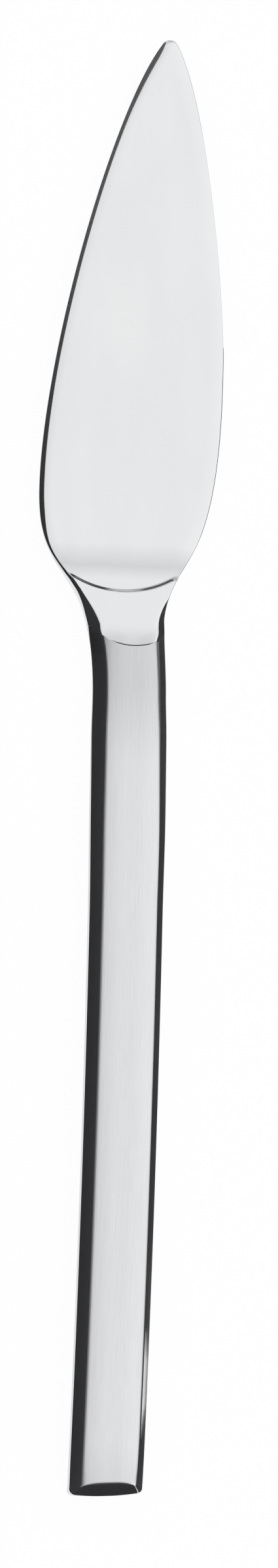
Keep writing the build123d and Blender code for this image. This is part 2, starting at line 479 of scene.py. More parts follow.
# %% Bevel of the back and rounded corners
RIGHT_GRIP_BEVEL = 1.2
RIGHT_COLLAR_BEVEL = 1.52
BACK_BREAK = 0.09
BACK_BEVEL_RUN = 7.1
LEFT_STEP_RADIUS = 0.8
RIGHT_STEP_RADIUS = 0.7
BACK_FOOT_RADIUS = 0.05
TIP_FOOT_RADIUS = 0.06
ONTO_BLADE = (STEP_Y, ROOT_Y + 3.1)


def right_bevel(y):
    """Width of the bevel on the back: wider at the collar, then it runs out on the neck as a parabola."""
    width = stages(y, RIGHT_GRIP_BEVEL, (RIGHT_COLLAR_BEVEL, -27.0, 4.0))
    part = np.clip((y - COLLAR_LENGTH) / BACK_BEVEL_RUN, 0, 1)
    return BACK_BREAK + (width - BACK_BREAK) * (1 - part**2)


def beside_step(y, start, full):
    """1 along the sides of the step, rising from a start on the neck; 0 on the collar and from the heel on."""
    return fade(y, start, full) * (1 - fade(y, STEP_Y + 2.2, HEEL[1] - 4.0))


def left_rounding(y):
    """Radius between the left wall and its bevel: large beside the step, smallest at the thin tip."""
    by_step = beside_step(y, COLLAR_LENGTH + 1.0, STEP_Y - 1.5)
    radius = FOOT_RADIUS + (LEFT_STEP_RADIUS - FOOT_RADIUS) * by_step
    return radius + (TIP_FOOT_RADIUS - FOOT_RADIUS) * fade(y, *THINNING)


def right_rounding(y):
    """Radius between the right wall and its bevel: large beside the step, small along the back."""
    radius = stages(y, FOOT_RADIUS, (BACK_FOOT_RADIUS, *ONTO_BLADE))
    return radius + RIGHT_STEP_RADIUS * beside_step(y, STEP_Y - 2.5, STEP_Y + 0.8)


def left_side(distance, y, top):
    """Height of the left bevel: from its foot it reaches the top over its width."""
    foot = left_foot(y, top)
    return foot + bevel_rise(distance * (top - foot) / left_bevel(y), left_rounding(y))


def right_side(distance, y, top):
    """Height of the right bevel: its foot leaves the handle's level slowly; it reaches the top over its width."""
    width = right_bevel(y)
    foot = BEVEL_TOP - width + (top - BEVEL_TOP) * fade(y, COLLAR_LENGTH + 1.9, COLLAR_LENGTH + 4.2)
    return foot + bevel_rise(distance * (top - foot) / width, right_rounding(y))


print("right bevel at the same stations, mm:", right_bevel(stations).round(2))

# %% [markdown]
# ## The grid of the forging
# Blade and neck are one grid. Its rows start along the seam's arc and straighten out over the neck, so that the
# forging meets the handle without a gap. Rows crowd where the shape changes fast: at the step and at the tip.

# %% Grid of the forging
NECK_ROWS_END = 13.0
STEP_ROWS_END = 18.5
ROOT_ROWS_END = 30.0
TIP_ROWS_RUN = 3.0
TIP_OPENING = 0.03
ROWS_STRAIGHT = COLLAR_LENGTH + 7.5
SEAM_REACH = 7.0
SETTLING = 12


def forging_rows():
    """Places along the knife; at the tip their distance from it is a square, which crowds them."""
    near_tip = TIP_Y - TIP_ROWS_RUN * np.linspace(1, TIP_OPENING, 40) ** 2
    body = stretches(
        (COLLAR_LENGTH, NECK_ROWS_END, 50),
        (NECK_ROWS_END, STEP_ROWS_END, 70),
        (STEP_ROWS_END, ROOT_ROWS_END, 30),
        (ROOT_ROWS_END, near_tip[0], 70),
    )
    return np.concatenate([body[:-1], near_tip])


def seam_lead(x):
    """How far the seam's arc is ahead of the collar's end, held beyond the reach of the handle."""
    return seam_y(np.clip(x, -SEAM_REACH, SEAM_REACH)) - COLLAR_LENGTH


def forging_plan():
    """x and y of the grid: each row bends along the seam at first; its ends lie on the two sides."""
    rows = forging_rows()
    bend = 1 - fade(rows, COLLAR_LENGTH, ROWS_STRAIGHT)
    ends = []
    for outline in (LEFT, RIGHT):
        x = edge_x(outline, rows)
        for _ in range(SETTLING):
            x = edge_x(outline, rows + bend * seam_lead(x))
        ends.append(x)
    x = across(*ends)
    return x, rows[:, None] + bend[:, None] * seam_lead(x)


forging_x, forging_y = forging_plan()
print("forging grid:", forging_x.shape)

# %% [markdown]
# ## The height of the forging
# The upper surface is the lowest of four faces: the scoop, the stepped blade plane, and the bevels that rise from
# both sides. Near its sides the blade is crowned a little. At the seam the scoop is lifted onto the handle's crown,
# so that a finger feels no edge there.

# %% Height of the forging
EDGE_CROWN_WIDTH = 1.6
EDGE_CROWN = 0.25
BACK_CROWN_WIDTH = 2.0
BACK_CROWN = 0.12
GRIP_BLEND = 0.6
SEAM_BLEND = 0.32
NECK_BLEND = 0.1
RIGHT_BLEND = 0.2
BLADE_BLEND = 0.05
TIP_BLEND = 0.3
FACE_BLEND = 0.1
LAND_BLEND = 0.2
FLUSH_RUN = 1.6


def left_blend(y):
    """Softness of the corner between face and left bevel: widest on the grip, crisp on the blade."""
    return stages(
        y,
        GRIP_BLEND,
        (SEAM_BLEND, -4.0, COLLAR_LENGTH),
        (NECK_BLEND, COLLAR_LENGTH, COLLAR_LENGTH + 3.2),
        (BLADE_BLEND, STEP_Y, ROOT_Y),
        (TIP_BLEND, TIP_Y - 20.0, TIP_Y - 4.0),
    )


def flush_lift(x, y):
    """Lift that makes the scoop meet the crown of the handle exactly at the seam and dies out ahead of it."""
    seam = COLLAR_LENGTH + seam_lead(x)
    gap = crown_height(np.clip(x, -SEAM_REACH, SEAM_REACH)) - scoop_height(seam)
    return gap * (1 - fade(y - seam, 0.0, FLUSH_RUN))


def bevel_top(land, y):
    """Height that a bevel reaches over its width: the handle's at the seam, the land's ahead of it."""
    return BEVEL_TOP + (land - BEVEL_TOP) * fade(y, COLLAR_LENGTH + 1.2, COLLAR_LENGTH + 2.9)


def left_land(y):
    """Height of the face just inside the left bevel: the lower of scoop and stepped blade."""
    return blend_min(scoop_height(y), step_height(edge_x(LEFT, y) + STEP_FADE_START, y), LAND_BLEND)


def right_land(y):
    """Height of the face inside the right bevel: the scoop, which fades to the blade past the step."""
    return scoop_height(y) + (blade_height(y) - scoop_height(y)) * fade(y, STEP_Y + 1.1, STEP_Y + 2.9)


def forging_height(x, y):
    """Lowest of scoop, stepped blade and the two side bevels, with softened corners."""
    from_left, from_right = from_sides(x, y)
    near_edge = np.clip(1 - from_left / EDGE_CROWN_WIDTH, 0, None)
    near_back = np.clip(1 - from_right / BACK_CROWN_WIDTH, 0, None)
    left_crown = fade(y, *ONTO_BLADE) * EDGE_CROWN * np.minimum(blade_height(y) / HALF_BLADE, 1)
    right_crown = fade(y, *ONTO_BLADE) * BACK_CROWN
    left_top = bevel_top(left_land(y) - left_crown * (1 - EDGE_BEVEL / EDGE_CROWN_WIDTH) ** 2, y)
    right_top = bevel_top(right_land(y) - right_crown, y)
    right_blend = stages(y, RIGHT_BLEND, (BLADE_BLEND, *ONTO_BLADE))
    face = blend_min(scoop_height(y) + flush_lift(x, y), step_height(x, y), FACE_BLEND)
    face = face - left_crown * near_edge**2 - right_crown * near_back**2
    face = blend_min(face, left_side(from_left, y, left_top), left_blend(y))
    return blend_min(face, right_side(from_right, y, right_top), right_blend)


forging_z = forging_height(forging_x, forging_y)
print("forging height, mm:", forging_z.min().round(3), "to", forging_z.max().round(3))

# %% [markdown]
# ## Closing the blade
# A grid and its mirror image make the two broad sides. The rim of the upper grid, walked once round, is joined to
# the rim of the lower one by an upright wall. A solidify modifier would lean that wall where the blade is crowned.
# The tang is a flat tapered bar with round notches that key it into the cement. It is hidden in the finished knife,
# but it is part of the forging.


# %% Slabs: a grid, its mirror image and the wall between
def rim_of(numbers):
    """Vertex numbers once round the border of a grid, back to the start."""
    left, right = numbers[::-1, 0], numbers[:, -1]
    return np.concatenate([left[:-1], numbers[0, :-1], right[:-1], numbers[-1, ::-1]])


def slab(x, y, z):
    """Closed slab between a grid of heights and its mirror image, with the wall in between."""
    count = x.size
    upper = np.stack([x, y, z], axis=-1).reshape(-1, 3)
    lower = upper * [1, 1, -1]
    numbers = np.arange(count).reshape(x.shape)
    rim = rim_of(numbers)
    faces = [grid_faces(numbers), grid_faces(numbers)[:, ::-1] + count, quads(rim + count, rim)]
    return np.vstack([upper, lower]), np.concatenate(faces)


blade_points, blade_faces = slab(forging_x, forging_y, forging_z)
print("blade and neck:", len(blade_faces), "faces")

# %% Tang and whole forging
TANG_LENGTH = 60.0
TANG_HALF = 2.5
TANG_END_HALF = 1.7
TANG_HALF_THICKNESS = 0.95
NOTCH_RADIUS = 0.7
NOTCH_PITCH = 14.0


def tang_grid():
    """Half width falls evenly to the end; each notch takes away the chord of a circle on the edge."""
    back = stretches((-SCOOP_RISE, 0, 4), (0, TANG_LENGTH, 420))[::-1]
    half = TANG_HALF + (TANG_END_HALF - TANG_HALF) * np.clip(back / TANG_LENGTH, 0, 1)
    for notch in (1, 2, 3):
        half = half - np.sqrt(np.clip(NOTCH_RADIUS**2 - (back - notch * NOTCH_PITCH) ** 2, 0, None))
    x = half[:, None] * np.linspace(-1, 1, 9)
    y = np.broadcast_to((COLLAR_LENGTH - back)[:, None], x.shape)
    return x, y, np.full(x.shape, TANG_HALF_THICKNESS)


tang_points, tang_faces = slab(*tang_grid())
blade = make_piece(
    "forged_blade",
    np.vstack([blade_points, tang_points]),
    np.concatenate([blade_faces, tang_faces + len(blade_points)]),
)
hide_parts("blade")

# %% [markdown]
# ## The handle shells
# Each shell is pressed from sheet: a crowned face, a 45 degree bevel along each side and round the butt, and a
# narrow upright band where it meets its twin. The same height rule gives the outside and, pulled in by the wall,
# the inside. The grid is bent along the bow of the handle, and its rows run from the arc of the butt to the seam.

# %% Plan of the handle
BUTT_SKEW = math.radians(3.0)
BUTT_COS, BUTT_SIN = math.cos(BUTT_SKEW), math.sin(BUTT_SKEW)
BUTT_RADIUS = 40.0
BUTT_CORNER = 0.8
BUTT_EASE = 0.005
BUTT_ROWS_END = 3.2
COLLAR_ROWS_START = 110.0


def bowed(across_handle, run):
    """Point of the plan: behind the collar the handle turns round the centre of its bow, ahead it is straight."""
    angle = np.minimum(run, 0) / BOW_RADIUS
    reach = BOW_RADIUS + across_handle
    return reach * np.cos(angle) - BOW_RADIUS, reach * np.sin(angle) + np.maximum(run, 0)


def butt_frame(x, y):
    """Coordinates across the butt and forward from it."""
    dx, dy = x + BUTT_OFFSET, y + GRIP_LENGTH - BUTT_EASE
    return dx * BUTT_COS + dy * BUTT_SIN, dy * BUTT_COS - dx * BUTT_SIN


def butt_run(across_handle, inset):
    """Run along the handle at which it meets the arc of the butt, found by stepping back the error."""
    run = np.full(np.shape(across_handle), -GRIP_LENGTH)
    for _ in range(8):
        sideways, forward = butt_frame(*bowed(across_handle, run))
        run = run - (forward - inset - BUTT_RADIUS + np.sqrt(BUTT_RADIUS**2 - sideways**2))
    return run


def handle_rows():
    """Distances from the butt: crowded over its rounded corners and bevel, and again at the collar."""
    corner = BUTT_CORNER * np.linspace(0, 1, 12) ** 2
    grip = stretches(
        (BUTT_CORNER, BUTT_ROWS_END, 45),
        (BUTT_ROWS_END, COLLAR_ROWS_START, 60),
        (COLLAR_ROWS_START, GRIP_LENGTH + COLLAR_LENGTH, 44),
    )
    return np.concatenate([corner[:-1], grip])


print("handle rows:", len(handle_rows()))

# %% [markdown]
# ## The surface of a shell
# The crown, the two side bevels and the bevel of the butt are heights again, and the lowest one counts. The outside
# follows the swell of the sides; the inside, which nobody sees, keeps the plain section. The same cell works out
# where the faces are satin: away from the sides and the butt.


# %% Grid of a shell
def handle_plan(inset):
    """Across and run of the grid, from the butt's arc to the seam's, with the butt's corners rounded in plan."""
    rows = handle_rows()
    rounding = BUTT_CORNER - np.sqrt(BUTT_CORNER**2 - np.clip(BUTT_CORNER - rows, 0, None) ** 2)
    part = rows[:, None] / rows[-1]
    ends = [np.full(len(rows), sign * (HALF_WIDTH - inset)) for sign in (-1, 1)]
    for _ in range(SETTLING if inset == 0 else 0):
        runs = [butt_run(x, 0) * (1 - part[:, 0]) + seam_y(x, SHOULDER_FILM) * part[:, 0] for x in ends]
        ends = [edge_x(LEFT, runs[0]), edge_x(RIGHT, runs[1])]
    sideways = across(ends[0] + rounding, ends[1] - rounding)
    run = butt_run(sideways, inset) * (1 - part) + seam_y(sideways, SHOULDER_FILM) * part
    return sideways, run


print("shell grid:", handle_plan(0.0)[0].shape)

# %% Surface of a shell
BUTT_BLEND = 0.25
CORNER_BLEND = 0.1
GRIP_SECTION = (0.5, 6.0)
CORNER_RUN_OUT = (1.2, 3.2)
LEFT_SATIN = (1.3, 1.9)
RIGHT_SATIN = (1.0, 1.4)
BUTT_SATIN = (1.3, 1.8)


def corner_distance(from_side, from_end):
    """Distance inside a rounded corner; away from the corner the distance from the nearer side."""
    reach = np.hypot(np.clip(BUTT_CORNER - from_side, 0, None), np.clip(BUTT_CORNER - from_end, 0, None))
    return np.where(reach > 0, BUTT_CORNER - reach, np.minimum(from_side, from_end))


def handle_height(sideways, run, inset):
    """Lowest of the crown, the side bevels and the bevel of the butt; also a mask, 1 where the face is satin."""
    x, y = bowed(sideways, run)
    if inset == 0:
        from_left, from_right = from_sides(sideways, run)
    else:
        from_left = sideways + HALF_WIDTH - inset
        from_right = HALF_WIDTH - inset - sideways
    forward = butt_frame(x, y)[1] - inset
    foot = SIDE_BAND - inset * (math.sqrt(2) - 1)
    height = crown_height(sideways, inset)
    left, right = foot + bevel_rise(from_left), foot + bevel_rise(from_right)
    if inset == 0:
        on_grip = fade(forward, *GRIP_SECTION)
        left = left + (left_side(from_left, run, BEVEL_TOP) - left) * on_grip
        right = right + (right_side(from_right, run, BEVEL_TOP) - right) * on_grip
    height = blend_min(height, left, left_blend(run))
    height = blend_min(height, right, RIGHT_BLEND)
    height = blend_min(height, foot + bevel_rise(forward), BUTT_BLEND)
    from_corner = corner_distance(np.minimum(from_left, from_right), forward)
    off_butt = HALF_THICKNESS * fade(forward, *CORNER_RUN_OUT)
    height = blend_min(height, foot + bevel_rise(from_corner) + off_butt, CORNER_BLEND)
    satin = [fade(from_left, *LEFT_SATIN), fade(from_right, *RIGHT_SATIN), fade(forward, *BUTT_SATIN)]
    return height, np.prod(satin, axis=0)


def handle_sheet(inset):
    """Grid of one shell's outside or inside: points, plan coordinates and the mask of the satin."""
    sideways, run = handle_plan(inset)
    height, satin = handle_height(sideways, run, inset)
    x, y = bowed(sideways, run)
    return np.stack([x, y, height], axis=-1), np.stack([sideways, run], axis=-1), satin


outside, outside_plan, outside_satin = handle_sheet(0.0)
inside, inside_plan, _ = handle_sheet(SHELL_WALL)
print("top of the shell, mm:", outside[..., 2].max().round(3))

# %% [markdown]
# ## Closing a shell
# Outside and inside grids each get a wall down to the parting plane. Then the two are joined along the parting
# plane and across the open mouth. A solidify modifier could add the wall, but it wouldn't leave the flat rim that
# is soldered. The lower shell is the upper one turned over.


# %% Shells
def u_rim(numbers):
    """Vertex numbers from the front left corner back round the butt to the front right corner."""
    return np.concatenate([numbers[::-1, 0][:-1], numbers[0, :-1], numbers[:, -1]])


def shell(side_up):
    """Closed shell: both grids with their walls, joined at the parting plane and the mouth; side_up is 1 or -1."""
    count = outside.shape[0] * COLUMNS
    numbers = np.arange(count).reshape(outside.shape[:2])
    rim = u_rim(numbers)
    layers, faces, plans = [], [], []
    start = 0
    for sheet, plan, turned in ((outside, outside_plan, 1), (inside, inside_plan, -1)):
        points = sheet.reshape(-1, 3)
        foot = points[rim] * [1, 1, 0] + [0, 0, SEAM_FILM / 2]
        foot_numbers = start + count + np.arange(len(rim))
        layers += [points, foot]
        faces += [(grid_faces(numbers) + start)[:, ::turned], quads(foot_numbers, rim + start)[:, ::turned]]
        flat = plan.reshape(-1, 2)
        plans += [flat, flat[rim]]
        start += count + len(rim)
    inner = count + len(rim)
    outer_foot = count + np.arange(len(rim))
    faces.append(quads(outer_foot + inner, outer_foot))
    mouth = np.concatenate([outer_foot[:1], numbers[-1], outer_foot[-1:]])
    faces.append(quads(mouth, mouth + inner))
    satin = np.concatenate([outside_satin.ravel(), np.zeros(start - count)])
    points = np.vstack(layers) * [1, 1, side_up]
    return points, np.concatenate(faces), satin, np.vstack(plans)


shells = []
for name, solid, side_up in (("upper_shell", "upper_handle_shell", 1), ("lower_shell", "lower_handle_shell", -1)):
    shell_piece = make_piece(name, *shell(side_up))
    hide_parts(solid)
    shells.append(shell_piece)

# %% [markdown]
# ## The solder lines
# Two thin films of hard solder show as fine lines: one between the shells, along the sides and round the butt, and
# one round the mouth of the handle. They are strips between edges that are already known, so their points are
# taken from the grids above and nothing has to be fitted.


# %% Strips of solder
def tube_of_strips(chains, closed):
    """Closed strip through chains of points that go round a small section; open chains get end caps."""
    length = len(chains[0])
    numbers = np.arange(len(chains) * length).reshape(len(chains), length)
    if closed:
        numbers = np.hstack([numbers, numbers[:, :1]])
    ring = np.vstack([numbers, numbers[:1]])
    faces = [grid_faces(ring)]
    if not closed:
        faces += [numbers[None, :, 0], numbers[None, ::-1, -1]]
    return np.vstack(chains), np.concatenate(faces)


def flat_chain(sheet, height):
    """Rim of a sheet's grid at one height."""
    numbers = np.arange(sheet.shape[0] * COLUMNS).reshape(sheet.shape[:2])
    return sheet.reshape(-1, 3)[u_rim(numbers)] * [1, 1, 0] + [0, 0, height]


def mouth_loop(points):
    """Upper row of points from left to right, then its mirror image back."""
    return np.vstack([points, (points * [1, 1, -1])[::-1]])


print("points round the mouth:", len(mouth_loop(outside[-1])))

# %% Line between the shells
half_film = SEAM_FILM / 2
seam_chains = [
    flat_chain(outside, half_film),
    flat_chain(outside, -half_film),
    flat_chain(inside, -half_film),
    flat_chain(inside, half_film),
]
seam_line = make_piece("shell_seam_line", *tube_of_strips(seam_chains, closed=False))
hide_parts("handle_seam_solder")

# %% Line round the mouth
mouth_x = outside[-1][:, 0]
mouth_y = seam_y(mouth_x)
forging_mouth = np.stack([mouth_x, mouth_y, forging_height(mouth_x, mouth_y)], axis=-1)
inner_front = inside[-1].copy()
inner_front[:, 1] = seam_y(inner_front[:, 0])
ring_chains = [mouth_loop(row) for row in (outside[-1], forging_mouth, inner_front, inside[-1])]
shoulder_line = make_piece("shoulder_line", *tube_of_strips(ring_chains, closed=True))
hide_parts("shoulder_solder")

# %% [markdown]
# ## Shared effects
# Metal that looks real is never even. Two effects are used by several finishes: a haze of handling and polishing,
# and a fine grain of strokes along the knife. Both could be copied into each material, but as node groups they are
# built once. Each is two stretched noises, mixed.


# %% Node helpers
def node(tree, kind, **settings):
    """A node with its settings."""
    made = tree.nodes.new(kind)
    for key, value in settings.items():
        setattr(made, key, value)
    return made


def split(tree, vector):
    """The x, y and z of a vector."""
    made = node(tree, "ShaderNodeSeparateXYZ")
    tree.links.new(vector, made.inputs[0])
    return made.outputs


def stretched_noise(tree, vector, scale, detail):
    """Noise on coordinates that a Mapping node stretches, so that spots become strokes."""
    mapping = node(tree, "ShaderNodeMapping")
    mapping.inputs["Scale"].default_value = scale
    noise = node(tree, "ShaderNodeTexNoise")
    noise.inputs["Scale"].default_value = 1.0
    noise.inputs["Detail"].default_value = detail
    tree.links.new(vector, mapping.inputs["Vector"])
    tree.links.new(mapping.outputs["Vector"], noise.inputs["Vector"])
    return noise.outputs["Fac"]


def spanned(tree, value, low, high, out_low, out_high):
    """A value carried from one span to another, held at the ends."""
    span = node(tree, "ShaderNodeMapRange")
    for name, number in zip(("From Min", "From Max", "To Min", "To Max"), (low, high, out_low, out_high)):
        span.inputs[name].default_value = number
    tree.links.new(value, span.inputs["Value"])
    return span.outputs["Result"]


def arithmetic(tree, operation, first, second=0.0):
    """Two values, linked or plain, put through one operation."""
    made = node(tree, "ShaderNodeMath", operation=operation)
    for place, value in enumerate((first, second)):
        if isinstance(value, (int, float)):
            made.inputs[place].default_value = value
        else:
            tree.links.new(value, made.inputs[place])
    return made.outputs[0]


# %% Haze of handling and grain of strokes
def mixed_noise(name, output, first, second, share, low, high):
    """A node group: two stretched noises, mixed by a share, with the span from low to high carried to 0 and 1."""
    group = bpy.data.node_groups.new(name, "ShaderNodeTree")
    group.interface.new_socket(name="Vector", in_out="INPUT", socket_type="NodeSocketVector")
    group.interface.new_socket(name=output, in_out="OUTPUT", socket_type="NodeSocketFloat")
    vector = group.nodes.new("NodeGroupInput").outputs["Vector"]
    one = arithmetic(group, "MULTIPLY", stretched_noise(group, vector, *first), share)
    other = arithmetic(group, "MULTIPLY", stretched_noise(group, vector, *second), 1 - share)
    spread_out = spanned(group, arithmetic(group, "ADD", one, other), low, high, 0.0, 1.0)
    group.links.new(spread_out, group.nodes.new("NodeGroupOutput").inputs[output])
    return group


CLOUDS = (90, 45, 90), 3.0
WIPES = (260, 60, 260), 2.0
FINE_STROKES = (14000, 300, 14000), 2.0
BROAD_STROKES = (5000, 90, 5000), 2.0
haze_group = mixed_noise("polish_haze", "Haze", CLOUDS, WIPES, share=0.65, low=0.35, high=0.65)
grain_group = mixed_noise("stroke_grain", "Strokes", FINE_STROKES, BROAD_STROKES, share=0.6, low=0.3, high=0.7)
print("node groups:", [group.name for group in bpy.data.node_groups])

# %% [markdown]
# ## Polished steel
# The blade and neck are mirror polished, a little hazy from use. Across the root runs a soft darker band of painted
# shade in the base colour. The band could be painted on a texture, but it is one straight stripe, so it
# is worked out from the place along the knife, with an edge that the haze makes slightly wavy.


# %% Finish helpers
def new_finish(name):
    """A material with its node tree and Principled shader."""
    finish = bpy.data.materials.new(name)
    finish.use_nodes = True
    return finish, finish.node_tree, finish.node_tree.nodes["Principled BSDF"]


def on_piece(tree):
    """Coordinates of the piece itself, in metres."""
    return node(tree, "ShaderNodeTexCoord").outputs["Object"]


def group_node(tree, group, vector):
    """A shared effect placed in a material."""
    made = node(tree, "ShaderNodeGroup", node_tree=group)
    tree.links.new(vector, made.inputs["Vector"])
    return made.outputs[0]


def tint(tree, factor, low, high):
    """Colour between two others, each a plain tint or a link."""
    mix = node(tree, "ShaderNodeMix", data_type="RGBA")
    tree.links.new(factor, mix.inputs["Factor"])
    for name, colour in (("A", low), ("B", high)):
        if isinstance(colour, tuple):
            mix.inputs[name].default_value = (*colour, 1)
        else:
            tree.links.new(colour, mix.inputs[name])
    return mix.outputs["Result"]


def bumped(tree, height, strength, distance):
    """Normal bent by a height."""
    bump = node(tree, "ShaderNodeBump")
    bump.inputs["Strength"].default_value = strength
    bump.inputs["Distance"].default_value = distance
    tree.links.new(height, bump.inputs["Height"])
    return bump.outputs["Normal"]


# %% Polished blade
BAND_SETBACK = 0.4
BAND_AHEAD = 3.1
BAND_BEHIND = 1.9
BAND_WAVE = 0.3
ROOT_PAINTED_SHADE = (0.625, 0.63, 0.64)
HAZY_STEEL = (0.755, 0.765, 0.775)
CLEAR_STEEL = (0.79, 0.795, 0.80)
POLISH_ROUGHNESS = (0.07, 0.13)
BAND_Y = float(ROOT_Y - SWELL_RUN / 2 - BAND_SETBACK + SHIFT[1])

polished, tree, shader = new_finish("polished_steel")
haze = group_node(tree, haze_group, on_piece(tree))
strokes = group_node(tree, grain_group, on_piece(tree))
wave = spanned(tree, haze, 0.0, 1.0, -BAND_WAVE * MM, BAND_WAVE * MM)
wavy = arithmetic(tree, "ADD", split(tree, on_piece(tree))["Y"], wave)
# Painted shade: a soft darker band across the root of the blade, mixed into the base colour.
ahead = spanned(tree, wavy, BAND_Y * MM, (BAND_Y + BAND_AHEAD) * MM, 0.0, 1.0)
behind = spanned(tree, wavy, (BAND_Y - BAND_BEHIND) * MM, BAND_Y * MM, 1.0, 0.0)
off_painted_shade = arithmetic(tree, "MAXIMUM", ahead, behind)
steel = tint(tree, off_painted_shade, ROOT_PAINTED_SHADE, tint(tree, haze, HAZY_STEEL, CLEAR_STEEL))
shader.inputs["Metallic"].default_value = 1.0
tree.links.new(steel, shader.inputs["Base Color"])
tree.links.new(spanned(tree, haze, 0, 1, *POLISH_ROUGHNESS), shader.inputs["Roughness"])
tree.links.new(bumped(tree, strokes, strength=0.03, distance=0.02 * MM), shader.inputs["Normal"])
blade.data.materials.append(polished)
print("root band at, mm:", round(BAND_Y, 2))

# %% [markdown]
# ## Satin steel
# The handle's broad faces are satin: strokes run along the handle and scatter the light, while the bevels are
# polished. Two materials would leave a hard border between them. A mask on the mesh tells one material how far each
# point is from the sides, so both finishes meet softly, and the strokes follow the handle's bow on its own UV map.

# %% Satin handle
COLLAR_SHADE = (-10.0, 1.0)
COLLAR_DARKENING = 1.3
BUTT_SHADE = (-109.5, -105.0)
BUTT_DARKENING = 0.6
SATIN_DARK = (0.675, 0.68, 0.69)
SATIN_LIGHT = (0.758, 0.763, 0.773)
BEVEL_STEEL = (0.78, 0.785, 0.795)
BEVEL_ROUGHNESS = 0.08
SATIN_ROUGHNESS = 0.3
HAZE_ROUGHNESS = 0.05

satin, tree, shader = new_finish("satin_and_polished_steel")
along_handle = node(tree, "ShaderNodeUVMap", uv_map="along_the_handle").outputs["UV"]
haze = group_node(tree, haze_group, along_handle)
strokes = group_node(tree, grain_group, along_handle)
mask = node(tree, "ShaderNodeAttribute", attribute_name="satin").outputs["Fac"]
run = split(tree, along_handle)["Y"]
# Painted shade: the satin's base colour darkens towards the seam at the collar and towards the butt.
painted_shade_at_collar = spanned(tree, run, COLLAR_SHADE[0] * MM, COLLAR_SHADE[1] * MM, 0.0, COLLAR_DARKENING)
painted_shade_at_butt = spanned(tree, run, BUTT_SHADE[0] * MM, BUTT_SHADE[1] * MM, BUTT_DARKENING, 0.0)
strokes_under_painted_shade = arithmetic(tree, "SUBTRACT", strokes, arithmetic(tree, "ADD", painted_shade_at_collar, painted_shade_at_butt))
brushed = tint(tree, strokes_under_painted_shade, SATIN_DARK, SATIN_LIGHT)
brushed.node.clamp_factor = False
rough = spanned(tree, mask, 0, 1, BEVEL_ROUGHNESS, SATIN_ROUGHNESS)
rough = arithmetic(tree, "ADD", rough, spanned(tree, haze, 0, 1, 0.0, HAZE_ROUGHNESS))
depth = arithmetic(tree, "MULTIPLY", strokes, mask)
shader.inputs["Metallic"].default_value = 1.0
tree.links.new(tint(tree, mask, BEVEL_STEEL, brushed), shader.inputs["Base Color"])
tree.links.new(rough, shader.inputs["Roughness"])
tree.links.new(bumped(tree, depth, strength=0.25, distance=0.03 * MM), shader.inputs["Normal"])
for shell_piece in shells:
    shell_piece.data.materials.append(satin)
print("satin on:", [shell_piece.name for shell_piece in shells])

# %% [markdown]
# ## Solder and cement
# The solder is greyer and duller than the steel. Round the mouth it carries a dark line of painted shade, for the
# crease where the scoop begins, in the middle of the broad face; towards the sides it is polished flush. The cement
# inside the handle is never seen, but a cut or an exploded view would show it, so it has a gritty finish too.

# %% Solder finishes
SOLDER_DARK = (0.30, 0.30, 0.31)
SOLDER_LIGHT = (0.42, 0.42, 0.43)
SOLDER_ROUGHNESS = (0.25, 0.4)
LINE_PAINTED_SHADE = (0.05, 0.051, 0.053)
LINE_FLUSH = (0.70, 0.705, 0.715)
LINE_PAINTED_SHADE_HALF = 2.2
LINE_FLUSH_HALF = 3.4

solder, tree, shader = new_finish("grey_solder")
haze = group_node(tree, haze_group, on_piece(tree))
shader.inputs["Metallic"].default_value = 1.0
tree.links.new(tint(tree, haze, SOLDER_DARK, SOLDER_LIGHT), shader.inputs["Base Color"])
tree.links.new(spanned(tree, haze, 0, 1, *SOLDER_ROUGHNESS), shader.inputs["Roughness"])
seam_line.data.materials.append(solder)

flush, tree, shader = new_finish("solder_with_painted_shade")
# Painted shade: nearly black in the middle of the broad face, fading to a steel tone towards the sides.
from_middle = arithmetic(tree, "SUBTRACT", split(tree, on_piece(tree))["X"], SHIFT[0] * MM)
off_middle = arithmetic(tree, "ABSOLUTE", from_middle)
painted_shade_fade = spanned(tree, off_middle, LINE_PAINTED_SHADE_HALF * MM, LINE_FLUSH_HALF * MM, 0.0, 1.0)
shader.inputs["Metallic"].default_value = 1.0
shader.inputs["Roughness"].default_value = 0.16
tree.links.new(tint(tree, painted_shade_fade, LINE_PAINTED_SHADE, LINE_FLUSH), shader.inputs["Base Color"])
shoulder_line.data.materials.append(flush)
print("solder finishes:", solder.name, flush.name)

# %% Cement finish
CEMENT_DARK = (0.20, 0.19, 0.17)
CEMENT_LIGHT = (0.42, 0.40, 0.37)
GRIT_SCALE = (1500, 1500, 1500)

cement, tree, shader = new_finish("gritty_cement")
grit = stretched_noise(tree, on_piece(tree), GRIT_SCALE, detail=4.0)
tree.links.new(tint(tree, grit, CEMENT_DARK, CEMENT_LIGHT), shader.inputs["Base Color"])
shader.inputs["Roughness"].default_value = 0.92
tree.links.new(bumped(tree, grit, strength=0.5, distance=0.1 * MM), shader.inputs["Normal"])
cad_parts["tang_cement"].material_slots[0].material = cement
print("cement finish:", cement.name)

# %% [markdown]
# ## The floor
# The knife lies on white paper. A white floor under white light would still render grey, so for the camera and in
# reflections most of the paper is its own glow. The rest is lit, so a faint shadow shows that the knife lies on it.


# %% Floor
def flat_sheet(name, corners, faces):
    """A plain sheet through corners, in metres."""
    mesh = bpy.data.meshes.new(name)
    mesh.from_pydata(corners, [], faces)
    sheet = bpy.data.objects.new(name, mesh)
    bpy.context.collection.objects.link(sheet)
    return sheet


